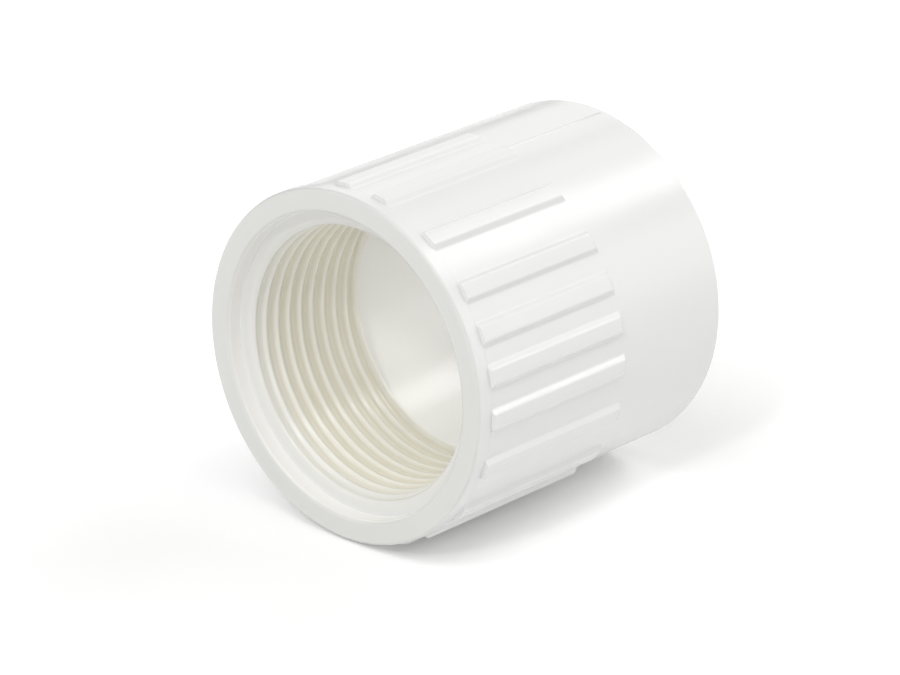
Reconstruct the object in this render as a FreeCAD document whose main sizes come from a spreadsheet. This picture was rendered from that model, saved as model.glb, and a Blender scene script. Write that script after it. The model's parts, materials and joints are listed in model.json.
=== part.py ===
"""Female threaded pipe adapter, 1-1/4 in, moulded in one piece.

One end is a solvent-weld socket and the other a tapered female pipe thread.
The fitting lies on two of its grip ribs, as it would come to rest on a table.
The body is drawn with its bore along Y and the thread's end face at Y = 0, and
its Placement then puts the origin on the floor under the middle of its length.
All sizes are in millimetres and all angles in degrees.
"""
import FreeCAD, Part
import os
import Sketcher

SIZES = {
    # overall
    "total_length": 49.8,
    "back_round": 0.6,
    # socket for 42.16 mm pipe, and the barrel's wall round it
    "pipe_r": 21.08,
    "socket_clearance": 0.07,
    "socket_depth": 24.0,
    "socket_lead": 1.2,
    "socket_lead_step": 0.6,
    "socket_wall": 3.8,
    # collar round the threaded end
    "collar_height": 0.25,
    "collar_length": 2.5,
    "collar_round": 0.4,
    "lip_bevel": 0.45,
    # pipe thread end, its fine thread left as the plain bore it is cut in
    "mouth_depth": 2.4,
    "mouth_step": 1.6,
    "shoulder_lead": 0.2,
    "shoulder_step": 1.15,
    "thread_lead": 1.0,
    "thread_inset": 2.03,
    # waist between the thread and the socket, which is the pipe's stop
    "waist_lead": 0.85,
    "waist_length": 2.7,
    "waist_step": 0.85,
    # grip ribs
    "rib_end": 28.5,
    "rib_height": 0.8,
    "rib_top_width": 2.1,
    "rib_root_width": 4.0,
    "rib_sink": 0.45,
    "rib_overlap": 0.1,
    "rib_end_foot": 0.15,
    "rib_end_slope": 0.55,
    "rib_end_clear": 1.0,
    # witness line of the two mould halves
    "parting_height": 0.12,
    "parting_width": 0.45,
    "parting_gap": 0.5,
    "parting_angle": 81.9,
}

# Steps from each rib to the next, turning from the first rib toward +X. The mould spaces its ribs unevenly,
# and the plain stretch left after the last one is the widest.
RIB_STEPS = [
    15.5, 21.6, 19.3, 13.9, 13.3, 14.1, 17.4, 20.2, 15.2, 13.0,
    12.0, 18.0, 13.5, 14.0, 18.0, 17.5, 16.5, 13.5, 13.2, 18.8,
]
LOWEST_STEP = 11
PARTING_LINES = 2

# The fitting rests on the ribs at both ends of the lowest step, so that step's middle points straight down.
SIZES["resting_half_angle"] = RIB_STEPS[LOWEST_STEP] / 2
SIZES["first_rib_angle"] = sum(RIB_STEPS[:LOWEST_STEP]) + RIB_STEPS[LOWEST_STEP] / 2 - 90


class Size:
    """A length as a number and as the sheet expression that gives it."""

    def __init__(self, value, text):
        self.value = value
        self.text = text

    def __add__(self, other):
        return Size(self.value + other.value, f"{self.text} + {other.text}")

    def __sub__(self, other):
        return Size(self.value - other.value, f"{self.text} - ({other.text})")

    def half(self, sign=1):
        return Size(sign * self.value / 2, f"{sign} * ({self.text}) / 2")


def size(name):
    """The named cell of the sheet."""
    return Size(SIZES[name], f"sizes.{name}")


ZERO = Size(0.0, "0")

# Radii, all of which follow from the pipe's own.
SOCKET_R = size("pipe_r") + size("socket_clearance")
SOCKET_MOUTH_R = SOCKET_R + size("socket_lead_step")
BARREL_R = SOCKET_R + size("socket_wall")
COLLAR_R = BARREL_R + size("collar_height")
THREAD_BORE_R = size("pipe_r") - size("thread_inset")
SHOULDER_R = THREAD_BORE_R + size("shoulder_step")
MOUTH_R = SHOULDER_R + size("mouth_step")
WAIST_R = THREAD_BORE_R - size("waist_step")
RIB_TOP_R = BARREL_R + size("rib_height")
RIB_ROOT_R = BARREL_R - size("rib_sink")
PARTING_R = BARREL_R + size("parting_height")

# Places along the bore, from the thread's end face.
BACK_FACE = size("total_length")
SOCKET_BOTTOM = BACK_FACE - size("socket_depth")
WAIST_START = SOCKET_BOTTOM - size("waist_length")
THREAD_END = WAIST_START - size("waist_lead")
SHOULDER_END = size("mouth_depth") + size("shoulder_lead")
THREAD_START = SHOULDER_END + size("thread_lead")
RIB_START = size("collar_length") - size("rib_overlap")
PARTING_END = BACK_FACE - size("back_round") - size("parting_gap")

doc = FreeCAD.newDocument("threaded_adapter")


def make_sheet():
    """Writes every size to a cell of its own, under its name."""
    sheet = doc.addObject("Spreadsheet::Sheet", "sizes")
    for row, (name, value) in enumerate(SIZES.items(), start=1):
        sheet.set(f"A{row}", name)
        sheet.set(f"B{row}", str(value))
        sheet.setAlias(f"B{row}", name)
    doc.recompute()


def origin_item(body, role):
    """The body's own origin plane or axis with this role."""
    return next(item for item in body.Origin.OriginFeatures if item.Role == role)


def closed_sketch(body, name, plane, corners):
    """A closed outline of straight sides on an origin plane.

    Each corner is a pair of Size, along the sketch's own X and Y, and is held by its
    distances from the sketch's origin.
    """
    sketch = body.newObject("Sketcher::SketchObject", name)
    sketch.AttachmentSupport = [(origin_item(body, plane), "")]
    sketch.MapMode = "FlatFace"
    points = [FreeCAD.Vector(across.value, up.value, 0) for across, up in corners]
    for index, start in enumerate(points):
        end = points[(index + 1) % len(points)]
        sketch.addGeometry(Part.LineSegment(start, end), False)
    for index in range(len(points)):
        following = (index + 1) % len(points)
        sketch.addConstraint(Sketcher.Constraint("Coincident", index, 2, following, 1))
    for index, (across, up) in enumerate(corners):
        for kind, length in (("DistanceX", across), ("DistanceY", up)):
            number = sketch.addConstraint(
                Sketcher.Constraint(kind, -1, 1, index, 1, length.value)
            )
            sketch.setExpression(f"Constraints[{number}]", length.text)
    return sketch


def revolve_shell(body):
    """Turns the wall's section about the bore's axis."""
    section = closed_sketch(
        body,
        "wall_section",
        "YZ_Plane",
        [
            (ZERO, MOUTH_R + size("lip_bevel")),
            (ZERO, COLLAR_R),
            (size("collar_length"), COLLAR_R),
            (size("collar_length"), BARREL_R),
            (BACK_FACE, BARREL_R),
            (BACK_FACE, SOCKET_MOUTH_R),
            (BACK_FACE - size("socket_lead"), SOCKET_R),
            (SOCKET_BOTTOM, SOCKET_R),
            (SOCKET_BOTTOM, WAIST_R),
            (WAIST_START, WAIST_R),
            (THREAD_END, THREAD_BORE_R),
            (THREAD_START, THREAD_BORE_R),
            (SHOULDER_END, SHOULDER_R),
            (size("mouth_depth"), MOUTH_R),
            (size("lip_bevel"), MOUTH_R),
        ],
    )
    wall = body.newObject("PartDesign::Revolution", "wall")
    wall.Profile = section
    wall.ReferenceAxis = (origin_item(body, "Y_Axis"), [""])
    wall.Angle = 360.0
    section.Visibility = False
    doc.recompute()
    return wall


def rings_at(shape, along, radius):
    """Names of the full circles of this radius at this distance along the bore."""
    names = []
    for number, edge in enumerate(shape.Edges, start=1):
        ring = edge.Curve
        if not isinstance(ring, Part.Circle):
            continue
        if abs(ring.Radius - radius) < 1e-4 and abs(ring.Center.y - along) < 1e-4:
            names.append(f"Edge{number}")
    return names


def round_ring(body, base, name, along, radius):
    """Rounds the base's ring at this distance and radius by the size that has the feature's name."""
    edges = rings_at(base.Shape, along.value, radius.value)
    if len(edges) != 1:
        raise RuntimeError(f"{name} found {len(edges)} rings and wants one")
    rounded = body.newObject("PartDesign::Fillet", name)
    rounded.Base = (base, edges)
    rounded.Radius = SIZES[name]
    rounded.setExpression("Radius", f"sizes.{name}")
    doc.recompute()
    return rounded


def bar_on_wall(body, name, top_r, top_width, root_r, root_width, start, end, turn):
    """A raised bar with sloping sides that runs along the barrel.

    It is drawn at the top and turned about the bore by the angle expression given.
    """
    sketch = closed_sketch(
        body,
        f"{name}_section",
        "XZ_Plane",
        [
            (root_width.half(-1), root_r),
            (root_width.half(), root_r),
            (top_width.half(), top_r),
            (top_width.half(-1), top_r),
        ],
    )
    sketch.setExpression("AttachmentOffset.Base.z", f"-1 * {start.text}")
    sketch.setExpression("AttachmentOffset.Rotation.Angle", turn)
    bar = body.newObject("PartDesign::Pad", name)
    bar.Profile = sketch
    bar.Reversed = True
    bar.Length = end.value - start.value
    bar.setExpression("Length", f"{end.text} - {start.text}")
    sketch.Visibility = False
    doc.recompute()
    return bar


def around_bore(body, name, bar, count):
    """Repeats a bar about the bore's axis."""
    pattern = body.newObject("PartDesign::PolarPattern", name)
    pattern.Originals = [bar]
    pattern.Axis = (origin_item(body, "Y_Axis"), [""])
    pattern.Occurrences = count
    body.Tip = pattern
    return pattern


def add_ribs(body):
    """The grip ribs, at the mould's uneven steps."""
    rib = bar_on_wall(
        body,
        "rib",
        RIB_TOP_R,
        size("rib_top_width"),
        RIB_ROOT_R,
        size("rib_root_width"),
        RIB_START,
        size("rib_end"),
        "sizes.first_rib_angle - 90",
    )
    ribs = around_bore(body, "ribs", rib, len(RIB_STEPS) + 1)
    ribs.Mode = "Spacing"
    ribs.Spacings = RIB_STEPS
    doc.recompute()


def slope_rib_ends(body):
    """One turned cut that slopes the far ends of all ribs down to the barrel."""
    foot = BARREL_R + size("rib_end_foot")
    over = RIB_TOP_R + size("rib_end_clear")
    section = closed_sketch(
        body,
        "rib_end_section",
        "YZ_Plane",
        [
            (size("rib_end"), foot),
            (size("rib_end") - size("rib_end_slope"), RIB_TOP_R),
            (size("rib_end") - size("rib_end_slope"), over),
            (size("rib_end") + size("rib_end_clear"), over),
            (size("rib_end") + size("rib_end_clear"), foot),
        ],
    )
    ends = body.newObject("PartDesign::Groove", "rib_ends")
    ends.Profile = section
    ends.ReferenceAxis = (origin_item(body, "Y_Axis"), [""])
    ends.Angle = 360.0
    section.Visibility = False
    doc.recompute()


def add_parting_lines(body):
    """The thin raised line where the two mould halves met, on both sides."""
    line = bar_on_wall(
        body,
        "parting_line",
        PARTING_R,
        size("parting_width"),
        RIB_ROOT_R,
        size("parting_width"),
        RIB_START,
        PARTING_END,
        "sizes.parting_angle - 90",
    )
    lines = around_bore(body, "parting_lines", line, PARTING_LINES)
    lines.Angle = 360.0
    doc.recompute()


def lay_down(body):
    """Puts the fitting on the inner top edges of its two lowest ribs, centred over the origin."""
    body.setExpression("Placement.Base.y", "-0.5 * sizes.total_length")
    body.setExpression(
        "Placement.Base.z",
        f"({RIB_TOP_R.text}) * cos(sizes.resting_half_angle)"
        " + sizes.rib_top_width / 2 * sin(sizes.resting_half_angle)",
    )
    doc.recompute()


def check_and_write(body, path):
    """Stops on any failed feature, and writes the body to its file."""
    for item in doc.Objects:
        if "Invalid" in item.State or "Error" in item.State:
            raise RuntimeError(f"{item.Name} failed: {item.State}")
    shape = body.Shape
    if shape.isNull() or not shape.isValid() or len(shape.Solids) != 1:
        raise RuntimeError(f"{body.Label} is not one sound solid")
    print(f"{body.Label}: volume {shape.Volume:.1f} mm3, area {shape.Area:.1f} mm2")
    shape.exportStep(path)


make_sheet()
adapter = doc.addObject("PartDesign::Body", "threaded_adapter")
adapter.Label = "threaded_adapter"
shell = revolve_shell(adapter)
shell = round_ring(adapter, shell, "collar_round", ZERO, COLLAR_R)
shell = round_ring(adapter, shell, "back_round", BACK_FACE, BARREL_R)
add_ribs(adapter)
slope_rib_ends(adapter)
add_parting_lines(adapter)
lay_down(adapter)

os.makedirs("parts", exist_ok=True)
check_and_write(adapter, "parts/threaded_adapter.step")
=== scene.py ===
"""The looks of a 1-1/4 inch female threaded pipe adapter that lies on its side on a pale studio floor.

The CAD frame gives the body and its box. This file makes the moulded body again as one closed skin, with
rounded edges, the grip ribs and the tapered pipe thread, and gives it the finish of glossy white rigid PVC,
with painted shade on the end face, in the bore and in the thread's grooves, and painted light on the mouth's
wall.
Lengths inside the classes are millimetres, and each mesh is turned into metres when it is made.
Angles run from +X toward +Z round the bore, seen from the threaded end. Places along the bore count from
the threaded end's face.
"""
from __future__ import annotations

import json
import logging
import math
from dataclasses import dataclass, field
from enum import Enum
from typing import Iterable, Sequence

import bmesh
import bpy
from mathutils import Matrix, Vector

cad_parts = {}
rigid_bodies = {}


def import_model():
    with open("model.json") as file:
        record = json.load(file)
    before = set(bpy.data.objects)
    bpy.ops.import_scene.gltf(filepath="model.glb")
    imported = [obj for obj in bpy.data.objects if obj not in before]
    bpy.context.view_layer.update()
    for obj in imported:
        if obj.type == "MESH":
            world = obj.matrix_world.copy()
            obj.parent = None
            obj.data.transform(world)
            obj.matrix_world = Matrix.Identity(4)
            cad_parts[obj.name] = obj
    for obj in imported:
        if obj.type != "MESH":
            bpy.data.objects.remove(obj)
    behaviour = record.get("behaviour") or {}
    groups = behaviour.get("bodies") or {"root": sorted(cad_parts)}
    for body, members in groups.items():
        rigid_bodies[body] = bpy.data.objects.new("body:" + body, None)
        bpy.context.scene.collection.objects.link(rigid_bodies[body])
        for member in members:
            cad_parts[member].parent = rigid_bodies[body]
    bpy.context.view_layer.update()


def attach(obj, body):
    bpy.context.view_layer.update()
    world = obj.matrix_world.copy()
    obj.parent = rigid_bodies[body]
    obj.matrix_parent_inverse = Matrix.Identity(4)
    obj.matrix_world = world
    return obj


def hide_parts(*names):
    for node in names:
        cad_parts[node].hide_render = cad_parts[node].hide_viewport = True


LOG = logging.getLogger("adapter")
MM = 0.001
FULL_TURN = 360.0


class Measure(Enum):
    """The measures that a net carries on its points, for the rules that shape it."""

    ALONG = "along"
    TURN = "turn"
    FROM_RIB = "from_rib"
    FROM_PARTING = "from_parting"
    SLANT = "slant"
    THREADED = "threaded"


@dataclass(frozen=True)
class Row:
    """One ring of a section.

    Attributes:
        along: its place along the bore, in millimetres.
        radius: its distance from the bore's axis, in millimetres.
        slanted: share of the slant of the ribs' far ends that the ring follows.
    """

    along: float
    radius: float
    slanted: float = 0.0


@dataclass
class Net:
    """A band of rings round the bore, with the measures that its shaping rules read."""

    points: list[tuple[float, float, float]] = field(default_factory=list)
    faces: list[tuple[int, ...]] = field(default_factory=list)
    measures: dict[Measure, list[float]] = field(default_factory=dict)

    def add_ring(self, row_places: Sequence[float], radius: float, angles: Sequence[float]) -> list[int]:
        """Adds one ring of points.

        Args:
            row_places: the place along the bore of each point, in millimetres.
            radius: the ring's radius, in millimetres.
            angles: the angle of each point, in degrees.

        Returns:
            The indices of the ring's points.
        """
        first = len(self.points)
        for place, angle in zip(row_places, angles):
            turned = math.radians(angle)
            x, z = radius * math.cos(turned), radius * math.sin(turned)
            self.points.append((x * MM, place * MM, z * MM))
        self.note(Measure.ALONG, row_places)
        return list(range(first, len(self.points)))

    def note(self, measure: Measure, values: Iterable[float]) -> None:
        """Adds the values of a measure, one for each of the points made last."""
        self.measures.setdefault(measure, []).extend(values)

    def join(self, ring: Sequence[int], following: Sequence[int], left_open: int = 0) -> None:
        """Joins two neighbouring rings of as many points with four-sided faces.

        Args:
            ring: indices of the first ring.
            following: indices of the next ring.
            left_open: how many of the last columns get no face, which is 0 for a closed ring.
        """
        count = len(ring)
        for column in range(count - left_open):
            beside = (column + 1) % count
            self.faces.append((ring[column], ring[beside], following[beside], following[column]))

    def mesh(self, name: str) -> bpy.types.Mesh:
        """Makes a mesh of the net, with its measures as attributes of the points.

        Args:
            name: the mesh's name.

        Returns:
            The new mesh, in metres.
        """
        made = bpy.data.meshes.new(name)
        made.from_pydata(self.points, [], self.faces)
        for measure, values in self.measures.items():
            attribute = made.attributes.new(measure.value, "FLOAT", "POINT")
            attribute.data.foreach_set("value", values)
        return made


def rounded_corner(centre: Row, radius: float, start: float, end: float, steps: int) -> list[Row]:
    """Rows along an arc of a section.

    Args:
        centre: the arc's centre.
        radius: the arc's radius, in millimetres.
        start: the first angle in degrees, where 0 points along the bore and 90 away from its axis.
        end: the last angle, in degrees.
        steps: how many steps the arc is cut into.

    Returns:
        The rows from the first angle to the last.
    """
    rows = []
    for step in range(steps + 1):
        angle = math.radians(start + (end - start) * step / steps)
        rows.append(Row(centre.along + radius * math.cos(angle), centre.radius + radius * math.sin(angle)))
    return rows


def add_math(
    tree: bpy.types.NodeTree, operation: str, *terms: bpy.types.NodeSocket | float
) -> bpy.types.NodeSocket:
    """Adds one sum or comparison to a tree.

    Args:
        tree: the tree that it goes into.
        operation: the Math node's operation.
        terms: sockets or plain numbers, in the node's order.

    Returns:
        The result's socket.
    """
    node = tree.nodes.new("ShaderNodeMath")
    node.operation = operation
    for place, term in enumerate(terms):
        if isinstance(term, (int, float)):
            node.inputs[place].default_value = term
        else:
            tree.links.new(term, node.inputs[place])
    return node.outputs["Value"]


def add_vector_math(
    tree: bpy.types.NodeTree, operation: str, vector: bpy.types.NodeSocket
) -> bpy.types.ShaderNodeVectorMath:
    """Adds one step of vector arithmetic to a tree.

    Args:
        tree: the tree that it goes into.
        operation: the Vector Math node's operation.
        vector: the vector that it works on.

    Returns:
        The new node.
    """
    node = tree.nodes.new("ShaderNodeVectorMath")
    node.operation = operation
    tree.links.new(vector, node.inputs[0])
    return node


def across_bore(tree: bpy.types.NodeTree, place: bpy.types.NodeSocket) -> bpy.types.NodeSocket:
    """Gives the part of a place that lies square to the bore.

    Args:
        tree: the tree that works it out.
        place: the place, counted from the bore's axis.

    Returns:
        The socket of the flattened vector.
    """
    flat = add_vector_math(tree, "MULTIPLY", place)
    flat.inputs[1].default_value = (1.0, 0.0, 1.0)
    return flat.outputs["Vector"]


class RuleTree:
    """A Geometry Nodes tree that moves the points of a net by a rule with named sizes."""

    def __init__(self, name: str) -> None:
        """Starts a tree that takes a net and gives it back.

        Args:
            name: the tree's name.
        """
        self.tree = bpy.data.node_groups.new(name, "GeometryNodeTree")
        self.tree.interface.new_socket("Geometry", in_out="INPUT", socket_type="NodeSocketGeometry")
        self.tree.interface.new_socket("Geometry", in_out="OUTPUT", socket_type="NodeSocketGeometry")
        self.source = self.tree.nodes.new("NodeGroupInput")
        self.sink = self.tree.nodes.new("NodeGroupOutput")
        self.dressed = self.tree.nodes.new("GeometryNodeSetMaterial")
        self.values: dict[str, float] = {}

    def size(self, name: str, value: float) -> bpy.types.NodeSocket:
        """Adds a named size to the tree's inputs.

        Args:
            name: the input's name.
            value: its value, in millimetres or as a plain ratio.

        Returns:
            The socket that gives the value inside the tree.
        """
        socket = self.tree.interface.new_socket(name, in_out="INPUT", socket_type="NodeSocketFloat")
        self.values[socket.identifier] = value
        return self.source.outputs[name]

    def measure(self, measure: Measure) -> bpy.types.NodeSocket:
        """Reads a measure.

        Args:
            measure: which one.

        Returns:
            The socket that gives its value at each point.
        """
        node = self.tree.nodes.new("GeometryNodeInputNamedAttribute")
        node.data_type = "FLOAT"
        node.inputs["Name"].default_value = measure.value
        return node.outputs["Attribute"]

    def math(self, operation: str, *terms: bpy.types.NodeSocket | float) -> bpy.types.NodeSocket:
        """Adds one sum or comparison of sockets and plain numbers."""
        return add_math(self.tree, operation, *terms)

    def finish(self, lift: bpy.types.NodeSocket) -> None:
        """Moves each point away from the bore's axis, and ends the tree.

        Args:
            lift: how far each point moves, in millimetres.
        """
        nodes, links = self.tree.nodes, self.tree.links
        outward = add_vector_math(self.tree, "NORMALIZE", self.from_axis())
        step = add_vector_math(self.tree, "SCALE", outward.outputs["Vector"])
        links.new(self.math("MULTIPLY", lift, MM), step.inputs["Scale"])
        moved = nodes.new("GeometryNodeSetPosition")
        links.new(self.source.outputs["Geometry"], moved.inputs["Geometry"])
        links.new(step.outputs["Vector"], moved.inputs["Offset"])
        real = nodes.new("GeometryNodeRealizeInstances")
        links.new(moved.outputs["Geometry"], real.inputs["Geometry"])
        links.new(real.outputs["Geometry"], self.dressed.inputs["Geometry"])
        links.new(self.dressed.outputs["Geometry"], self.sink.inputs["Geometry"])

    def from_axis(self) -> bpy.types.NodeSocket:
        """Gives the vector from the bore's axis to each point, in metres."""
        place = self.tree.nodes.new("GeometryNodeInputPosition")
        return across_bore(self.tree, place.outputs["Position"])

    def radius(self) -> bpy.types.NodeSocket:
        """Gives each point's distance from the bore's axis, in millimetres."""
        length = add_vector_math(self.tree, "LENGTH", self.from_axis())
        return self.math("DIVIDE", length.outputs["Value"], MM)

    def shape(self, net: Net, name: str, finish: bpy.types.Material) -> bpy.types.Mesh:
        """Runs the tree on a net.

        Args:
            net: the net to shape.
            name: the name of the mesh that it makes.
            finish: the material that the tree sets.

        Returns:
            The shaped mesh, with no modifier left.
        """
        self.dressed.inputs["Material"].default_value = finish
        carrier = bpy.data.objects.new(name, net.mesh(name))
        bpy.context.scene.collection.objects.link(carrier)
        modifier = carrier.modifiers.new(self.tree.name, "NODES")
        modifier.node_group = self.tree
        for identifier, value in self.values.items():
            modifier[identifier] = value
        graph = bpy.context.evaluated_depsgraph_get()
        shaped = bpy.data.meshes.new_from_object(carrier.evaluated_get(graph))
        carrier.modifiers.remove(modifier)
        unshaped = carrier.data
        bpy.data.objects.remove(carrier)
        bpy.data.meshes.remove(unshaped)
        return shaped


class FinishTree:
    """The nodes of a finish that changes with the place on the part."""

    def __init__(self, name: str) -> None:
        """Starts a material with one plain shader.

        Args:
            name: the material's name.
        """
        self.material = bpy.data.materials.new(name)
        self.material.use_nodes = True
        self.tree = self.material.node_tree
        self.shader = self.tree.nodes["Principled BSDF"]

    def centred(self, height: float) -> bpy.types.NodeSocket:
        """Reads the place on the part.

        Args:
            height: height of the bore's axis over the floor, in metres.

        Returns:
            The socket of the place, counted from the axis at the middle of the part.
        """
        place = self.tree.nodes.new("ShaderNodeTexCoord")
        moved = self.tree.nodes.new("ShaderNodeMapping")
        moved.inputs["Location"].default_value = (0.0, 0.0, -height)
        self.tree.links.new(place.outputs["Object"], moved.inputs["Vector"])
        return moved.outputs["Vector"]

    def along(self, place: bpy.types.NodeSocket) -> bpy.types.NodeSocket:
        """Picks out the distance along the bore.

        Args:
            place: the place on the part.

        Returns:
            The socket of the distance from the part's middle, in metres.
        """
        apart = self.tree.nodes.new("ShaderNodeSeparateXYZ")
        self.tree.links.new(place, apart.inputs["Vector"])
        return apart.outputs["Y"]

    def radius(self, place: bpy.types.NodeSocket) -> bpy.types.NodeSocket:
        """Gives a place's distance from the bore's axis, in metres."""
        length = add_vector_math(self.tree, "LENGTH", across_bore(self.tree, place))
        return length.outputs["Value"]

    def share(self, *shares: bpy.types.NodeSocket) -> bpy.types.NodeSocket:
        """Multiplies shares.

        Args:
            shares: two or more sockets that give numbers from 0 to 1.

        Returns:
            The product's socket.
        """
        product = shares[0]
        for share in shares[1:]:
            product = add_math(self.tree, "MULTIPLY", product, share)
        return product

    def ramp(
        self, value: bpy.types.NodeSocket, start: float, end: float, low: float = 0.0, high: float = 1.0
    ) -> bpy.types.NodeSocket:
        """Adds a soft step.

        Args:
            value: what the step follows.
            start: the value at which the step begins.
            end: the value at which it is over.
            low: the result before the step.
            high: the result after it.

        Returns:
            The result's socket.
        """
        node = self.tree.nodes.new("ShaderNodeMapRange")
        node.interpolation_type = "SMOOTHSTEP"
        for name, number in (("From Min", start), ("From Max", end), ("To Min", low), ("To Max", high)):
            node.inputs[name].default_value = number
        self.tree.links.new(value, node.inputs["Value"])
        return node.outputs["Result"]

    def noise(self, place: bpy.types.NodeSocket, scale: float, detail: float) -> bpy.types.NodeSocket:
        """Adds cloudy noise.

        Args:
            place: the place on the part.
            scale: how fine the noise is, per metre.
            detail: how many finer layers lie over it.

        Returns:
            A socket that gives numbers from 0 to 1.
        """
        node = self.tree.nodes.new("ShaderNodeTexNoise")
        node.inputs["Scale"].default_value = scale
        node.inputs["Detail"].default_value = detail
        self.tree.links.new(place, node.inputs["Vector"])
        return node.outputs["Fac"]

    def blend(
        self,
        under: bpy.types.NodeSocket | tuple[float, float, float],
        over: tuple[float, float, float],
        share: bpy.types.NodeSocket,
    ) -> bpy.types.NodeSocket:
        """Lays one colour over another.

        Args:
            under: the colour below, a socket or plain numbers.
            over: the colour above.
            share: how much of the colour above is seen, from 0 to 1.

        Returns:
            The mixed colour's socket.
        """
        mix = self.tree.nodes.new("ShaderNodeMix")
        mix.data_type = "RGBA"
        if isinstance(under, tuple):
            mix.inputs["A"].default_value = (*under, 1.0)
        else:
            self.tree.links.new(under, mix.inputs["A"])
        mix.inputs["B"].default_value = (*over, 1.0)
        self.tree.links.new(share, mix.inputs["Factor"])
        return mix.outputs["Result"]


@dataclass(frozen=True)
class MouldedPvc:
    """Glossy white rigid PVC, as it comes out of the mould.

    A fade is a pair of places in millimetres: a colour isn't seen at the first and is full at the second.

    Attributes:
        outside: colour of the outer skin.
        face_shade_colour: colour of the flat front face: painted shade, darker than the outer skin.
        mouth: colour of the mouth's wall, in front of the thread: painted light, paler than the outer skin.
        bore: colour far inside the bore: painted shade, a warmer cream than the outer skin.
        groove: colour at the bottom of the thread's grooves: painted shade, darker and more olive.
        socket: colour of the wall behind the thread.
        face_shade_fade: the fade of the end face's painted shade, as depths from it.
        bore_shade_fade: the fade of the bore's painted shade, as depths from the end face.
        lip_fade: the fade of the mouth's painted light and of the socket's colour, as distances outside the
            mouth's wall.
        bore_start: how far inside the mouth's wall the bore's painted shade begins, in millimetres.
        bore_end: how far inside the thread's deepest root it is full, in millimetres.
        step_fade: how far before the shoulder the mouth's painted light is full, in millimetres.
        thread_fade: the fade of the grooves' painted shade at the thread's inner end, as places from the
            socket's stop.
        socket_fade: the socket's fade, as places from its stop.
        groove_margin: how far from crest and root the grooves' painted shade begins and ends, in millimetres.
        least_shade: share of the light that the darkest clouds of the resin throw back.
        least_roughness: roughness of the glossiest patches.
        most_roughness: roughness of the dullest patches.
        ior: how strongly the resin bends light.
        cloud_scale: how fine the clouds of tone and gloss are, per metre.
        cloud_detail: how many finer clouds lie over them.
        thin_cloud: density of a cloud below which the gloss is full.
        thick_cloud: density of a cloud above which it is least.
        grain_scale: how fine the grain of the mould's wall is, per metre.
        grain_detail: how many finer grains lie over it.
        grain_height: height of that grain, in millimetres.
        grain_strength: share of the grain's height that is seen.
    """

    outside: tuple[float, float, float] = (0.86, 0.862, 0.848)
    # painted shade: the flat end face is darker than the outer skin
    face_shade_colour: tuple[float, float, float] = (0.79, 0.795, 0.765)
    # painted light: the mouth's wall is paler than the outer skin
    mouth: tuple[float, float, float] = (0.955, 0.95, 0.925)
    # painted shade: the bore turns a warmer cream further inside
    bore: tuple[float, float, float] = (0.886, 0.875, 0.806)
    # painted shade: darker, more olive colour at the bottom of the thread's grooves
    groove: tuple[float, float, float] = (0.796, 0.767, 0.654)
    socket: tuple[float, float, float] = (0.89, 0.885, 0.855)
    face_shade_fade: tuple[float, float] = (0.4, 0.1)
    bore_shade_fade: tuple[float, float] = (0.4, 9.5)
    lip_fade: tuple[float, float] = (0.8, 0.1)
    bore_start: float = 0.1
    bore_end: float = 0.4
    step_fade: float = 0.1
    thread_fade: tuple[float, float] = (-0.3, -1.1)
    socket_fade: tuple[float, float] = (-0.2, 2.3)
    groove_margin: float = 0.05
    least_shade: float = 0.994
    least_roughness: float = 0.22
    most_roughness: float = 0.26
    ior: float = 1.53
    cloud_scale: float = 140.0
    cloud_detail: float = 3.0
    thin_cloud: float = 0.35
    thick_cloud: float = 0.65
    grain_scale: float = 900.0
    grain_detail: float = 2.0
    grain_height: float = 0.1
    grain_strength: float = 0.04

    def material(self, bore: BoreSkin, axis_height: float) -> bpy.types.Material:
        """Makes the node material.

        Args:
            bore: the inside of the part, whose sizes say where each tone begins.
            axis_height: height of the bore's axis over the floor, in millimetres.

        Returns:
            The material.
        """
        finish = FinishTree("moulded_pvc")
        links = finish.tree.links
        place = finish.centred(axis_height * MM)
        radius, along = finish.radius(place), finish.along(place)

        def by_depth(first: float, last: float) -> bpy.types.NodeSocket:
            """Gives a share that grows from 0 at the first depth to 1 at the last, in millimetres."""
            return finish.ramp(along, (first - bore.length / 2) * MM, (last - bore.length / 2) * MM)

        def by_radius(first: float, last: float) -> bpy.types.NodeSocket:
            """Gives a share that grows from 0 at the first radius to 1 at the last, in millimetres."""
            return finish.ramp(radius, first * MM, last * MM)

        stop, shoulder = bore.socket_bottom, bore.mouth_depth
        # painted shade on the flat end face
        face_shade_share = by_depth(*self.face_shade_fade)
        hollow = by_radius(*(bore.mouth_radius + margin for margin in self.lip_fade))
        # painted light on the mouth's wall, in front of the shoulder
        mouth_light_share = finish.share(hollow, by_depth(shoulder, shoulder - self.step_fade))
        in_socket = finish.share(hollow, by_depth(*(stop + margin for margin in self.socket_fade)))
        # painted shade that grows further into the bore
        inside = by_radius(bore.mouth_radius - self.bore_start, bore.root_radius - self.bore_end)
        bore_shade_share = finish.share(inside, by_depth(*self.bore_shade_fade))
        # painted shade at the bottom of the thread's grooves, fading in from crest to root
        untapered = add_math(finish.tree, "MULTIPLY_ADD", along, bore.thread_taper, radius)
        crest = bore.crest_radius - bore.thread_taper * bore.length / 2
        root = crest + bore.thread_depth
        sunk = finish.ramp(untapered, (crest + self.groove_margin) * MM, (root - self.groove_margin) * MM)
        groove_shade_share = finish.share(bore_shade_share, sunk, by_depth(*(stop + margin for margin in self.thread_fade)))

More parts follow.
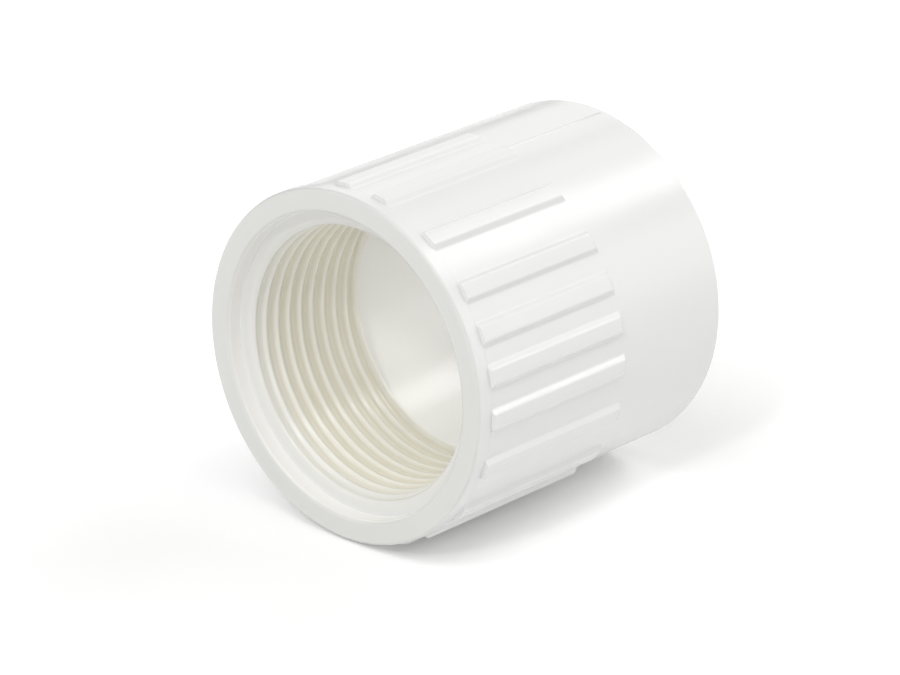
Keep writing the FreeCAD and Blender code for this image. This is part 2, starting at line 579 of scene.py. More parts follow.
        colour = finish.blend(self.outside, self.mouth, mouth_light_share)
        colour = finish.blend(colour, self.bore, bore_shade_share)
        colour = finish.blend(colour, self.groove, groove_shade_share)
        colour = finish.blend(colour, self.socket, in_socket)
        colour = finish.blend(colour, self.face_shade_colour, face_shade_share)
        clouds = finish.noise(place, self.cloud_scale, self.cloud_detail)
        toned = add_vector_math(finish.tree, "SCALE", colour)
        links.new(finish.ramp(clouds, 0.0, 1.0, self.least_shade, 1.0), toned.inputs["Scale"])
        links.new(toned.outputs["Vector"], finish.shader.inputs["Base Color"])

        least, most = self.least_roughness, self.most_roughness
        rough = finish.ramp(clouds, self.thin_cloud, self.thick_cloud, least, most)
        links.new(rough, finish.shader.inputs["Roughness"])
        finish.shader.inputs["IOR"].default_value = self.ior
        bump = finish.tree.nodes.new("ShaderNodeBump")
        bump.inputs["Strength"].default_value = self.grain_strength
        bump.inputs["Distance"].default_value = self.grain_height * MM
        links.new(finish.noise(place, self.grain_scale, self.grain_detail), bump.inputs["Height"])
        links.new(bump.outputs["Normal"], finish.shader.inputs["Normal"])
        return finish.material


def mirror_rays(tree: bpy.types.NodeTree) -> bpy.types.NodeSocket:
    """Adds the test for rays that come from the camera, straight or by a mirrored or clear surface.

    Args:
        tree: the tree that the test goes into.

    Returns:
        A socket that is 1 for such rays and 0 for the others.
    """
    path = tree.nodes.new("ShaderNodeLightPath")
    found = path.outputs["Is Camera Ray"]
    for kind in ("Is Glossy Ray", "Is Transmission Ray"):
        found = add_math(tree, "MAXIMUM", found, path.outputs[kind])
    return found


@dataclass(frozen=True)
class StudioPaper:
    """White paper sweep that shows white to the camera and keeps the soft shadow of the part.

    Attributes:
        colour: how much light the paper throws back on the part.
        glow: brightness that the camera sees besides the lamps' light, so that weak shadows fade to white.
    """

    colour: float = 0.9
    glow: float = 0.15

    def material(self) -> bpy.types.Material:
        """Makes the node material.

        Returns:
            The material.
        """
        made = bpy.data.materials.new("studio_paper")
        made.use_nodes = True
        nodes, links = made.node_tree.nodes, made.node_tree.links
        nodes.remove(nodes["Principled BSDF"])
        lit = nodes.new("ShaderNodeBsdfDiffuse")
        lit.inputs["Color"].default_value = (self.colour, self.colour, self.colour, 1.0)
        glow = nodes.new("ShaderNodeEmission")
        glow.inputs["Strength"].default_value = self.glow
        seen_lit = nodes.new("ShaderNodeBsdfDiffuse")
        seen_lit.inputs["Color"].default_value = (1.0, 1.0, 1.0, 1.0)
        seen = nodes.new("ShaderNodeAddShader")
        links.new(seen_lit.outputs["BSDF"], seen.inputs[0])
        links.new(glow.outputs["Emission"], seen.inputs[1])
        chosen = nodes.new("ShaderNodeMixShader")
        links.new(mirror_rays(made.node_tree), chosen.inputs["Fac"])
        links.new(lit.outputs["BSDF"], chosen.inputs[1])
        links.new(seen.outputs["Shader"], chosen.inputs[2])
        links.new(chosen.outputs["Shader"], nodes["Material Output"].inputs["Surface"])
        return made


@dataclass
class GripSkin:
    """The outside of the fitting: end faces, collar, barrel, grip ribs and parting lines.

    The first rib and the steps say where the ribs stand. A rib's half foot, its slopes and its rounding are
    those of its cross section. The columns are distances from the middle of a rib or a line, at which the net
    has points on both sides. A name with ring or rings gives places of rings, from the edge that it names.

    Attributes:
        end_slant: half the difference in length between the longest and the shortest rib.
        shortest_rib: the angle at which the ribs would be shortest, in degrees.
        edge_gap: distance from a rounding to the ring that keeps the wall beside it straight.
        widest_column: the widest step from column to column.
        least_column: the step under which two columns become one.
        least_lift: the height under which the skin stays as it is.
    """

    length: float = 49.8
    barrel_radius: float = 24.95
    back_round: float = 0.6
    collar_radius: float = 25.2
    collar_length: float = 2.5
    collar_round: float = 0.45
    collar_edge_round: float = 0.1
    front_face_radius: float = 23.7
    back_face_radius: float = 23.2
    rib_height: float = 0.8
    rib_half_foot: float = 1.66
    rib_flank_slope: float = 1.316
    rib_start: float = 2.42
    rib_end: float = 28.58
    end_slant: float = 2.0
    shortest_rib: float = 55.0
    rib_front_slope: float = 12.0
    rib_back_slope: float = 1.4
    rib_rounding: float = 0.3
    rib_steps: tuple[float, ...] = (
        15.5, 21.6, 19.3, 13.9, 13.3, 14.1, 17.4, 20.2, 15.2, 13.0,
        12.0, 18.0, 13.5, 14.0, 18.0, 17.5, 16.5, 13.5, 13.2, 18.8,
    )
    first_rib: float = 94.5
    parting_angle: float = 81.9
    parting_half_width: float = 0.3
    parting_height: float = 0.12
    parting_start: float = 2.5
    parting_end: float = 48.7
    rib_columns: tuple[float, ...] = (
        0.0, 0.4, 0.7, 0.85, 0.94, 1.01, 1.08, 1.16, 1.28, 1.4, 1.5, 1.58, 1.66, 1.75, 1.87, 2.1,
    )
    parting_columns: tuple[float, ...] = (0.0, 0.08, 0.16, 0.24, 0.32, 0.42)
    widest_column: float = 0.62
    least_column: float = 0.045
    least_lift: float = 0.0005
    edge_gap: float = 0.08
    corner_steps: int = 10
    edge_steps: int = 4
    back_steps: int = 8
    collar_rings: tuple[float, ...] = (0.13, 0.3)
    before_end_ring: float = -1.4
    end_rings_start: float = -1.05
    end_rings_reach: float = 1.3
    end_ring_steps: int = 14
    past_end_ring: float = 0.6
    line_end_rings: tuple[float, ...] = (-0.1, 0.05)

    def rib_angles(self) -> list[float]:
        """Works out where the ribs stand.

        Returns:
            The angle of every rib, in degrees, from the first one round toward +X.
        """
        angles = [self.first_rib]
        for step in self.rib_steps:
            angles.append(angles[-1] - step)
        return angles

    def parting_angles(self) -> list[float]:
        """Gives the angles of the two parting lines, in degrees."""
        return [self.parting_angle, self.parting_angle - FULL_TURN / 2]

    def slant(self, angle: float) -> float:
        """Gives how much further the ribs reach at an angle than at the shortest one, in millimetres."""
        return self.end_slant * (1.0 - math.cos(math.radians(angle - self.shortest_rib)))

    def arc_to(self, angle: float, target: float) -> float:
        """Gives the signed distance on the barrel from one angle to another, in millimetres."""
        apart = (angle - target + FULL_TURN / 2) % FULL_TURN - FULL_TURN / 2
        return math.radians(apart) * self.barrel_radius

    def columns(self) -> list[float]:
        """Works out the net's columns, which are close together at the flanks and wider between the ribs.

        Returns:
            Their angles, rising, in degrees.
        """
        wanted = []
        for middles, offsets in (
            (self.rib_angles(), self.rib_columns),
            (self.parting_angles(), self.parting_columns),
        ):
            for middle in middles:
                for offset in offsets:
                    for side in (-1.0, 1.0):
                        wanted.append((middle + side * math.degrees(offset / self.barrel_radius)) % FULL_TURN)
        wanted.sort()
        kept: list[float] = []
        for angle in wanted:
            if not kept or math.radians(angle - kept[-1]) * self.barrel_radius > self.least_column:
                kept.append(angle)
        angles: list[float] = []
        for place, angle in enumerate(kept):
            following = kept[(place + 1) % len(kept)]
            gap = (following - angle) % FULL_TURN
            parts = max(1, math.ceil(math.radians(gap) * self.barrel_radius / self.widest_column))
            angles.extend((angle + gap * part / parts) % FULL_TURN for part in range(parts))
        return sorted(angles)

    def section(self) -> list[Row]:
        """Works out the section of the smooth skin.

        Returns:
            Its rows, from the front face round to the back face.
        """
        front, edge, gap = self.collar_round, self.collar_edge_round, self.edge_gap
        barrel, foot = self.barrel_radius, self.barrel_radius + edge
        rows = [Row(0.0, self.front_face_radius), Row(0.0, self.collar_radius - front - gap)]
        corner = Row(front, self.collar_radius - front)
        rows += rounded_corner(corner, front, 180.0, 90.0, self.corner_steps)
        rows += [Row(self.collar_length - edge - gap, self.collar_radius)]
        collar_edge = Row(self.collar_length - edge, self.collar_radius - edge)
        rows += rounded_corner(collar_edge, edge, 90.0, 0.0, self.edge_steps)
        rows += rounded_corner(Row(self.collar_length + edge, foot), edge, 180.0, 270.0, self.edge_steps)
        rows += [Row(self.collar_length + edge + place, barrel) for place in self.collar_rings]
        rows += [Row(self.rib_end / 2, barrel, 0.5), Row(self.rib_end + self.before_end_ring, barrel, 1.0)]
        for step in range(self.end_ring_steps + 1):
            reach = self.end_rings_reach * step / self.end_ring_steps
            rows.append(Row(self.rib_end + self.end_rings_start + reach, barrel, 1.0))
        rows += [Row(self.rib_end + self.past_end_ring, barrel, 1.0)]
        rows += [Row((self.rib_end + self.parting_end) / 2, barrel, 0.5)]
        rows += [Row(self.parting_end + place, barrel) for place in self.line_end_rings]
        back = self.back_round
        rows += [Row(self.length - back - gap, barrel)]
        rows += rounded_corner(Row(self.length - back, barrel - back), back, 90.0, 0.0, self.back_steps)
        rows += [Row(self.length, barrel - back - gap), Row(self.length, self.back_face_radius)]
        return rows

    def net(self) -> tuple[Net, list[int], list[int], list[float]]:
        """Builds the net of the smooth skin.

        Returns:
            The net, its front ring, its back ring and its columns' angles.
        """
        net, angles = Net(), self.columns()
        ribs, lines = self.rib_angles(), self.parting_angles()
        from_rib = [min((self.arc_to(angle, rib) for rib in ribs), key=abs) for angle in angles]
        from_parting = [min((self.arc_to(angle, line) for line in lines), key=abs) for angle in angles]
        slants = [self.slant(angle) for angle in angles]
        rings = []
        for row in self.section():
            places = [row.along + row.slanted * reach for reach in slants]
            rings.append(net.add_ring(places, row.radius, angles))
            net.note(Measure.SLANT, slants)
            net.note(Measure.FROM_RIB, from_rib)
            net.note(Measure.FROM_PARTING, from_parting)
        for ring, following in zip(rings, rings[1:]):
            net.join(ring, following)
        return net, rings[0], rings[-1], angles

    def rule(self) -> RuleTree:
        """Builds the tree that raises the ribs and the parting lines from the smooth skin.

        Returns:
            The tree.
        """
        tree = RuleTree("raise_grip_ribs")
        barrel = tree.size("Barrel radius", self.barrel_radius)
        height = tree.size("Rib height", self.rib_height)
        foot = tree.size("Rib half foot", self.rib_half_foot)
        flank = tree.size("Flank slope", self.rib_flank_slope)
        start = tree.size("Rib start", self.rib_start)
        end = tree.size("Rib end", self.rib_end)
        front_slope = tree.size("Front slope", self.rib_front_slope)
        back_slope = tree.size("Back slope", self.rib_back_slope)
        rounding = tree.size("Rounding", self.rib_rounding)
        line_height = tree.size("Parting height", self.parting_height)
        line_half = tree.size("Parting half width", self.parting_half_width)
        line_start = tree.size("Parting start", self.parting_start)
        line_end = tree.size("Parting end", self.parting_end)

        along = tree.measure(Measure.ALONG)
        beside = tree.math("ABSOLUTE", tree.measure(Measure.FROM_RIB))
        side = tree.math("MULTIPLY", tree.math("SUBTRACT", foot, beside), flank)
        front = tree.math("MULTIPLY", tree.math("SUBTRACT", along, start), front_slope)
        far_end = tree.math("ADD", end, tree.measure(Measure.SLANT))
        back = tree.math("MULTIPLY", tree.math("SUBTRACT", far_end, along), back_slope)
        lengthwise = tree.math("MINIMUM", front, back)
        walls = tree.math("SMOOTH_MIN", side, lengthwise, rounding)
        topped = tree.math("SMOOTH_MIN", walls, height, rounding)
        rib = tree.math("SMOOTH_MAX", topped, 0.0, rounding)

        apart = tree.math("ABSOLUTE", tree.measure(Measure.FROM_PARTING))
        share = tree.math("DIVIDE", apart, line_half)
        bulge = tree.math("MAXIMUM", tree.math("SUBTRACT", 1.0, tree.math("MULTIPLY", share, share)), 0.0)
        line = tree.math("MULTIPLY", bulge, line_height)
        past_start = tree.math("GREATER_THAN", along, line_start)
        before_end = tree.math("LESS_THAN", along, line_end)
        line = tree.math("MULTIPLY", line, tree.math("MULTIPLY", past_start, before_end))

        raised = tree.math("MAXIMUM", rib, line)
        above = tree.math("SUBTRACT", tree.math("ADD", barrel, raised), tree.radius())
        moving = tree.math("GREATER_THAN", raised, self.least_lift)
        lift = tree.math("MULTIPLY", tree.math("MAXIMUM", above, 0.0), moving)
        tree.finish(lift)
        return tree


@dataclass
class BoreSkin:
    """The inside of the fitting: lip, mouth, pipe thread, waist and socket.

    The near flank of a thread's turn faces the mouth, and the far one faces the socket. A name with ring or
    rings gives places of rings, from the edge that it names.

    Attributes:
        root_radius: radius that the thread's deepest root doesn't pass.
        thread_zone_start: depth at which the net's rows begin to follow the helix.
        thread_zone_end: depth at which they stop following it.
        first_crest: depth of the first crest at the angle 0.
        lead_in_slope: how steeply the bore narrows behind the shoulder.
        run_out_start: depth at which the grooves begin to close.
        run_out_slope: how steeply they close.
        socket_lead: length of the socket's lead-in.
        column_count: how many columns the net has round the bore.
        profile_places: places of the rows in half a pitch, as shares of the pitch counted from the crest.
    """

    length: float = 49.8
    front_face_radius: float = 23.0
    back_face_radius: float = 22.7
    lip_round: float = 0.6
    back_lip_round: float = 0.3
    mouth_radius: float = 21.8
    mouth_depth: float = 2.5
    shoulder_radius: float = 20.1
    shoulder_edge: float = 0.15
    root_radius: float = 20.9
    step_round: float = 0.15
    thread_zone_start: float = 2.7
    thread_zone_end: float = 22.2
    pitch: float = 2.209
    first_crest: float = 3.7
    crest_radius: float = 19.3
    crest_half_width: float = 0.06
    thread_depth: float = 0.5
    near_flank_slope: float = 1.25
    far_flank_slope: float = 0.62
    thread_taper: float = 0.03125
    crest_rounding: float = 0.3
    root_rounding: float = 0.35
    lead_in_slope: float = 1.3
    run_out_start: float = 20.9
    run_out_slope: float = 2.0
    waist_radius: float = 18.5
    socket_bottom: float = 22.6
    socket_radius: float = 21.15
    socket_lead: float = 1.2
    socket_mouth_radius: float = 21.75
    column_count: int = 256
    profile_places: tuple[float, ...] = (0.0, 0.04, 0.085, 0.125, 0.17, 0.235, 0.32, 0.39, 0.44)
    lip_steps: int = 6
    step_steps: int = 4
    lip_gap: float = 0.06
    step_gap: float = 0.1
    lead_gap: float = 0.05
    shoulder_rings: tuple[float, ...] = (0.0, 0.02, 0.05, 0.09, 0.14)
    stop_ring: float = 1.0
    socket_rings: tuple[float, ...] = (1.0, 9.0, 17.0)

    def row_steps(self) -> list[float]:
        """Works out the rows of one turn of the thread.

        Returns:
            Their places within the pitch, as shares of it counted from the crest.
        """
        rising = list(self.profile_places)
        falling = [1.0 - place for place in reversed(rising) if place > 0.0]
        return rising + [0.5] + falling

    def plain_front(self) -> list[Row]:
        """Works out the section in front of the thread.

        Returns:
            Its rows, from the front face to the shoulder.
        """
        lip, step, gap = self.lip_round, self.step_round, self.step_gap
        rows = [Row(0.0, self.front_face_radius), Row(0.0, self.mouth_radius + lip + self.lip_gap)]
        rows += rounded_corner(Row(lip, self.mouth_radius + lip), lip, 180.0, 270.0, self.lip_steps)
        rows += [Row(self.mouth_depth - step - gap, self.mouth_radius)]
        corner = Row(self.mouth_depth - step, self.mouth_radius - step)
        rows += rounded_corner(corner, step, 90.0, 0.0, self.step_steps)
        rows += [Row(self.mouth_depth, self.root_radius + gap)]
        return rows

    def plain_back(self) -> list[Row]:
        """Works out the section behind the thread.

        Returns:
            Its rows, from the end of the thread to the back face.
        """
        step, stop, socket = self.step_round, self.socket_bottom, self.socket_radius
        rows = rounded_corner(Row(stop - step, self.waist_radius + step), step, 270.0, 360.0, self.step_steps)
        rows += [Row(stop, self.waist_radius + self.stop_ring), Row(stop, socket - step - self.step_gap)]
        rows += rounded_corner(Row(stop + step, socket - step), step, 180.0, 90.0, self.step_steps)
        rows += [Row(stop + place, socket) for place in self.socket_rings]
        rows += [Row(self.length - self.socket_lead, socket)]
        lip, lip_radius = self.back_lip_round, self.socket_mouth_radius + self.back_lip_round
        rows += [Row(self.length - lip - self.lead_gap, self.socket_mouth_radius - self.lead_gap)]
        rows += rounded_corner(Row(self.length - lip, lip_radius), lip, 270.0, 360.0, self.lip_steps)
        rows += [Row(self.length, lip_radius + self.lip_gap), Row(self.length, self.back_face_radius)]
        return rows

    def net(self) -> tuple[Net, list[int], list[int], list[float]]:
        """Builds the net of the bore, whose rows follow the helix between the thread's two ends.

        Returns:
            The net, its front ring, its back ring and its columns' angles.
        """
        net = Net()
        count = self.column_count
        angles = [FULL_TURN * column / count for column in range(count)]
        turns = [column / count for column in range(count)]

        def plain_ring(row: Row, threaded: float = 0.0) -> list[int]:
            """Adds a flat ring.

            Args:
                row: its place and radius.
                threaded: 1 where the thread's rule shapes the ring, and 0 elsewhere.

            Returns:
                The indices of its points.
            """
            ring = net.add_ring([row.along] * count, row.radius, angles)
            net.note(Measure.TURN, turns)
            net.note(Measure.THREADED, [threaded] * count)
            return ring

        front = [plain_ring(row) for row in self.plain_front()]
        for past in self.shoulder_rings:
            front.append(plain_ring(Row(self.mouth_depth + past, self.root_radius), 1.0))
        shares = self.row_steps()
        first_turn = math.floor((self.thread_zone_start - self.first_crest) / self.pitch)
        last_turn = math.ceil((self.thread_zone_end - self.first_crest) / self.pitch) + 1
        places = [turn + share for turn in range(first_turn, last_turn) for share in shares]
        helical = []
        for place in places:
            row_places = []
            for turn in turns:
                wanted = self.first_crest + self.pitch * (place - turn)
                row_places.append(min(max(wanted, self.thread_zone_start), self.thread_zone_end))
            helical.append(net.add_ring(row_places, self.root_radius, angles))
            net.note(Measure.TURN, turns)
            net.note(Measure.THREADED, [1.0] * count)
        back = [plain_ring(row) for row in self.plain_back()]

        for ring, following in zip(front, front[1:] + [helical[0]]):
            net.join(ring, following)
        for ring, following in zip([helical[-1]] + back, back):
            net.join(ring, following)
        self.join_helix(net, helical, len(shares))
        return net, front[0], back[-1], angles

    def join_helix(self, net: Net, rings: Sequence[Sequence[int]], per_turn: int) -> None:
        """Joins the thread's rows, whose last column meets the first one a turn lower.

        Args:
            net: the net that holds the rows.
            rings: indices of the rows.
            per_turn: how many rows make one pitch.
        """
        last = self.column_count - 1
        for ring, following in zip(rings, rings[1:]):
            net.join(ring, following, left_open=1)
        for place in range(per_turn, len(rings) - 1):
            ring, following = rings[place][last], rings[place + 1][last]
            below, beside = rings[place - per_turn][0], rings[place - per_turn + 1][0]
            net.faces.append((ring, below, beside, following))
        start = [rings[place][last] for place in range(per_turn + 1)]
        net.faces.extend((start[place], rings[0][0], start[place + 1]) for place in range(per_turn))
        end = [rings[place][0] for place in range(len(rings) - 1 - per_turn, len(rings))]
        net.faces.extend((rings[-1][last], end[place], end[place + 1]) for place in range(per_turn))

    def rule(self) -> RuleTree:
        """Builds the tree that cuts the tapered thread into the bore.

        Returns:
            The tree.
        """
        tree = RuleTree("cut_pipe_thread")
        pitch = tree.size("Pitch", self.pitch)
        first = tree.size("First crest", self.first_crest)
        crest = tree.size("Crest radius", self.crest_radius)
        half = tree.size("Crest half width", self.crest_half_width)
        depth = tree.size("Depth", self.thread_depth)
        near_slope = tree.size("Near flank slope", self.near_flank_slope)
        far_slope = tree.size("Far flank slope", self.far_flank_slope)
        taper = tree.size("Taper", self.thread_taper)
        rounding = tree.size("Crest rounding", self.crest_rounding)
        root_rounding = tree.size("Root rounding", self.root_rounding)
        shoulder = tree.size("Shoulder", self.mouth_depth)
        lead_radius = tree.size("Shoulder radius", self.shoulder_radius)
        edge = tree.size("Shoulder edge", self.shoulder_edge)
        root = tree.size("Root radius", self.root_radius)
        lead_slope = tree.size("Lead slope", self.lead_in_slope)
        out_start = tree.size("Run-out start", self.run_out_start)
        out_slope = tree.size("Run-out slope", self.run_out_slope)
        waist = tree.size("Waist radius", self.waist_radius)

        along = tree.measure(Measure.ALONG)
        turn = tree.measure(Measure.TURN)
        phase = tree.math("ADD", tree.math("DIVIDE", tree.math("SUBTRACT", along, first), pitch), turn)
        cycle = tree.math("SUBTRACT", tree.math("FRACT", tree.math("ADD", phase, 0.5)), 0.5)
        from_crest = tree.math("MULTIPLY", tree.math("ABSOLUTE", cycle), pitch)
        change = tree.math("SUBTRACT", far_slope, near_slope)
        slope = tree.math("MULTIPLY_ADD", tree.math("GREATER_THAN", cycle, 0.0), change, near_slope)
        flank = tree.math("MULTIPLY", tree.math("SUBTRACT", from_crest, half), slope)
        groove = tree.math("SMOOTH_MIN", flank, depth, root_rounding)
        groove = tree.math("SMOOTH_MAX", groove, 0.0, rounding)
        base = tree.math("SUBTRACT", crest, tree.math("MULTIPLY", along, taper))
        cut = tree.math("ADD", base, groove)
        past = tree.math("SUBTRACT", along, shoulder)
        lead = tree.math("SUBTRACT", lead_radius, tree.math("MULTIPLY", past, lead_slope))
        near_edge = tree.math("MAXIMUM", tree.math("SUBTRACT", 1.0, tree.math("DIVIDE", past, edge)), 0.0)
        rounded = tree.math("MULTIPLY", edge, tree.math("MULTIPLY", near_edge, near_edge))
        lead = tree.math("ADD", lead, rounded)
        cut = tree.math("SMOOTH_MAX", cut, lead, rounding)
        out = tree.math("MULTIPLY", tree.math("SUBTRACT", along, out_start), out_slope)
        run_out = tree.math("SUBTRACT", root, out)
        cut = tree.math("SMOOTH_MIN", cut, run_out, rounding)
        cut = tree.math("MAXIMUM", cut, waist)
        cut = tree.math("MINIMUM", cut, root)
        step = tree.math("SUBTRACT", cut, tree.radius())
        tree.finish(tree.math("MULTIPLY", step, tree.measure(Measure.THREADED)))
        return tree


def zip_rings(
    mesh: bmesh.types.BMesh,
    outer: Sequence[int],
    outer_angles: Sequence[float],
    inner: Sequence[int],
    inner_angles: Sequence[float],
) -> None:
    """Fills the flat ring between two circles that have different numbers of points.

    Args:
        mesh: the mesh that holds both circles.
        outer: indices of the outer circle's points.
        outer_angles: their angles, rising from 0.
        inner: indices of the inner circle's points.
        inner_angles: their angles, rising from 0.
    """
    verts = mesh.verts
    wide, narrow = 0, 0
    while wide < len(outer) or narrow < len(inner):
        next_wide = outer_angles[wide + 1] if wide + 1 < len(outer) else outer_angles[0] + FULL_TURN
        next_narrow = inner_angles[narrow + 1] if narrow + 1 < len(inner) else inner_angles[0] + FULL_TURN
        here_wide = verts[outer[wide % len(outer)]]
        here_narrow = verts[inner[narrow % len(inner)]]
        if narrow >= len(inner) or (wide < len(outer) and next_wide <= next_narrow):
            mesh.faces.new((here_wide, verts[outer[(wide + 1) % len(outer)]], here_narrow))
            wide += 1
        else:
            mesh.faces.new((here_wide, verts[inner[(narrow + 1) % len(inner)]], here_narrow))
            narrow += 1


@dataclass
class ThreadedAdapter:
    """The moulded body: outer skin and bore, closed into one piece over the two end faces.

    Attributes:
        node: the CAD node that the body stands for.
        slot: its material slot, which is not used.
        axis_height: height of the bore's axis over the floor, in millimetres.
        merge_distance: the gap under which two points become one, in millimetres.
        sliver: the length under which an edge is taken out, in millimetres.
        outside: the outer skin.
        inside: the bore.
        finish: the finish of the whole body.
    """

    node: str = "threaded_adapter"
    slot: str = "white_pvc"
    axis_height: float = 25.597
    merge_distance: float = 0.002
    sliver: float = 0.0002
    outside: GripSkin = field(default_factory=GripSkin)
    inside: BoreSkin = field(default_factory=BoreSkin)
    finish: MouldedPvc = field(default_factory=MouldedPvc)

    def build(self) -> bpy.types.Object:
        """Makes the body.

        Returns:
            The finished object, with its place in its mesh.
        """
        material = self.finish.material(self.inside, self.axis_height)
        skin_net, skin_front, skin_back, skin_angles = self.outside.net()
        bore_net, bore_front, bore_back, bore_angles = self.inside.net()
        skin = self.outside.rule().shape(skin_net, "grip_skin", material)
        bore = self.inside.rule().shape(bore_net, "bore_skin", material)

        joined = bmesh.new()
        joined.from_mesh(skin)
        shift = len(joined.verts)
        joined.from_mesh(bore)
        joined.verts.ensure_lookup_table()
        zip_rings(joined, skin_front, skin_angles, [shift + place for place in bore_front], bore_angles)
        zip_rings(joined, skin_back, skin_angles, [shift + place for place in bore_back], bore_angles)
        bmesh.ops.remove_doubles(joined, verts=joined.verts, dist=self.merge_distance * MM)
        bmesh.ops.dissolve_degenerate(joined, edges=joined.edges, dist=self.sliver * MM)
        bmesh.ops.recalc_face_normals(joined, faces=joined.faces)
        for face in joined.faces:
            face.smooth = True
        open_edges = sum(1 for edge in joined.edges if not edge.is_manifold)
        bmesh.ops.transform(
            joined,
            matrix=Matrix.Translation((0.0, -self.outside.length / 2 * MM, self.axis_height * MM)),
            verts=joined.verts,
        )
        mesh = bpy.data.meshes.new("adapter_body")
        joined.to_mesh(mesh)
        joined.free()
        for spent in (skin, bore):
            bpy.data.meshes.remove(spent)
        for measure in Measure:
            if measure.value in mesh.attributes:
                mesh.attributes.remove(mesh.attributes[measure.value])
        mesh.materials.clear()
        mesh.materials.append(material)
        body = bpy.data.objects.new("adapter_body", mesh)
        bpy.context.scene.collection.objects.link(body)
        triangles = sum(len(face.vertices) - 2 for face in mesh.polygons)
        LOG.info("adapter_body: %d triangles, %d open edges", triangles, open_edges)
        return body

    def place(self, body: bpy.types.Object) -> None:
        """Lets the body stand for its CAD node and move with the part.

        Args:
            body: the finished body.
        """
        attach(body, "root")
        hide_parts(self.node)


@dataclass(frozen=True)
class SunLamp:
    """A soft lamp so far away that it lights the whole floor evenly.

    Attributes:
        name: the lamp's name.
        azimuth: where it stands, in degrees from +X toward +Y.
        elevation: how high it stands, in degrees.
        strength: how much light it gives.
        width: how wide it looks from the part, in degrees.
    """

    name: str
    azimuth: float
    elevation: float
    strength: float
    width: float

    def hang(self) -> None:
        """Adds the lamp to the scene."""
        lamp = bpy.data.lights.new(self.name, "SUN")
        lamp.energy = self.strength
        lamp.angle = math.radians(self.width)
        turned, raised = math.radians(self.azimuth), math.radians(self.elevation)
        toward = Vector(
            (math.cos(raised) * math.cos(turned), math.cos(raised) * math.sin(turned), math.sin(raised))
        )
        holder = bpy.data.objects.new(self.name, lamp)
        holder.rotation_euler = toward.to_track_quat("Z", "Y").to_euler()
        holder.location = toward
        bpy.context.scene.collection.objects.link(holder)


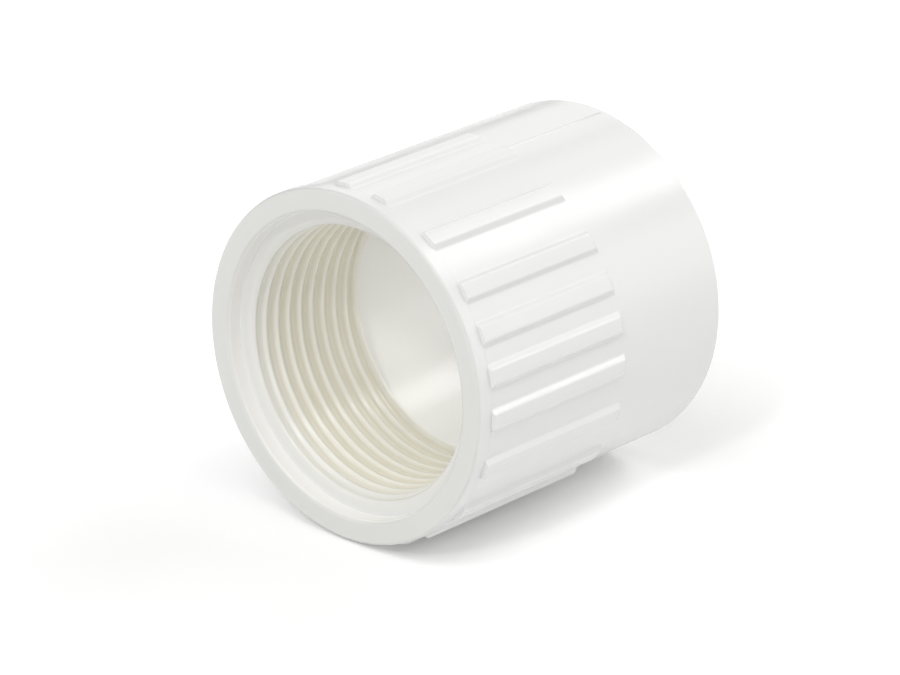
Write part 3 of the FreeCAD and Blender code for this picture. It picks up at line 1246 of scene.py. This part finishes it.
@dataclass
class Studio:
    """The floor, the lamps, the room's light and the camera.

    Attributes:
        floor_half_side: half the floor's side, in metres.
        room_light: how much light the room gives from all sides.
        mirrored_room: how bright the room is where the part mirrors it.
        paper: the floor's paper.
        lamps: the lamps.
        camera_place: where the camera stands, in metres.
        camera_azimuth: where it looks, in degrees from +Y toward -X.
        camera_elevation: how far it looks down, in degrees.
        lens: its focal length, in millimetres.
        sensor: its sensor's width, in millimetres.
        nearest: the nearest distance that it sees, in metres.
    """

    floor_half_side: float = 3.0
    room_light: float = 0.03
    mirrored_room: float = 0.12
    paper: StudioPaper = field(default_factory=StudioPaper)
    lamps: tuple[SunLamp, ...] = (
        SunLamp("front_softbox", 300.0, 25.0, 0.23, 35.0),
        SunLamp("camera_side_fill", 315.0, 12.0, 0.403, 35.0),
        SunLamp("crest_glint", 290.0, 42.0, 0.42, 7.0),
        SunLamp("front_overhead", 270.0, 63.0, 0.86, 35.0),
        SunLamp("right_overhead", 345.0, 60.0, 0.461, 35.0),
        SunLamp("right_low_fill", 45.0, 12.0, 0.48, 35.0),
        SunLamp("right_back_fill", 45.0, 45.0, 0.346, 35.0),
        SunLamp("barrel_stripe", 71.0, 43.0, 0.24, 18.0),
        SunLamp("back_softbox", 90.0, 38.0, 0.34, 35.0),
        SunLamp("back_low_fill", 90.0, 12.0, 0.624, 35.0),
        SunLamp("left_back_fill", 135.0, 26.0, 0.432, 40.0),
        SunLamp("left_softbox", 225.0, 30.0, 0.5, 40.0),
    )
    camera_place: tuple[float, float, float] = (0.434659, -0.473426, 0.283650)
    camera_azimuth: float = 42.76099
    camera_elevation: float = 22.10185
    lens: float = 200.0
    sensor: float = 36.0
    nearest: float = 0.01

    def lay_floor(self) -> None:
        """Lays the paper floor."""
        side = self.floor_half_side
        mesh = bpy.data.meshes.new("studio_floor")
        corners = [(-side, -side, 0.0), (side, -side, 0.0), (side, side, 0.0), (-side, side, 0.0)]
        mesh.from_pydata(corners, [], [(0, 1, 2, 3)])
        mesh.materials.append(self.paper.material())
        floor = bpy.data.objects.new("studio_floor", mesh)
        bpy.context.scene.collection.objects.link(floor)

    def light_room(self) -> None:
        """Hangs the lamps and gives the world its even light, which the camera sees as white."""
        for lamp in self.lamps:
            lamp.hang()
        world = bpy.data.worlds.new("studio")
        world.use_nodes = True
        nodes, links = world.node_tree.nodes, world.node_tree.links
        strength = nodes.new("ShaderNodeMapRange")
        strength.inputs["To Min"].default_value = self.room_light
        strength.inputs["To Max"].default_value = self.mirrored_room
        links.new(mirror_rays(world.node_tree), strength.inputs["Value"])
        room, backdrop = nodes["Background"], nodes.new("ShaderNodeBackground")
        for light in (room, backdrop):
            light.inputs["Color"].default_value = (1.0, 1.0, 1.0, 1.0)
        links.new(strength.outputs["Result"], room.inputs["Strength"])
        chosen = nodes.new("ShaderNodeMixShader")
        path = nodes.new("ShaderNodeLightPath")
        links.new(path.outputs["Is Camera Ray"], chosen.inputs["Fac"])
        links.new(room.outputs["Background"], chosen.inputs[1])
        links.new(backdrop.outputs["Background"], chosen.inputs[2])
        links.new(chosen.outputs["Shader"], nodes["World Output"].inputs["Surface"])
        bpy.context.scene.world = world

    def set_camera(self) -> None:
        """Puts the camera at the photograph's viewing angle."""
        data = bpy.data.cameras.new("camera")
        data.lens = self.lens
        data.sensor_width = self.sensor
        data.clip_start = self.nearest
        camera = bpy.data.objects.new("camera", data)
        camera.location = self.camera_place
        camera.rotation_euler = (
            math.radians(90.0 - self.camera_elevation), 0.0, math.radians(self.camera_azimuth)
        )
        bpy.context.scene.collection.objects.link(camera)
        bpy.context.scene.camera = camera

    def build(self) -> None:
        """Sets up the whole studio."""
        self.set_camera()
        self.lay_floor()
        self.light_room()
        bpy.context.scene.view_settings.view_transform = "Standard"


def corners(box: Sequence[Sequence[float]]) -> list[list[float]]:
    """Gives a box's two corners as plain lists of numbers."""
    return [[float(value) for value in corner] for corner in box]


def main() -> None:
    """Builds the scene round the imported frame."""
    logging.basicConfig(level=logging.INFO, format="%(name)s: %(message)s")
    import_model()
    Studio().build()
    LOG.info("studio: floor, lamps and camera")
    adapter = ThreadedAdapter()
    adapter.place(adapter.build())


if __name__ == "__main__":
    main()
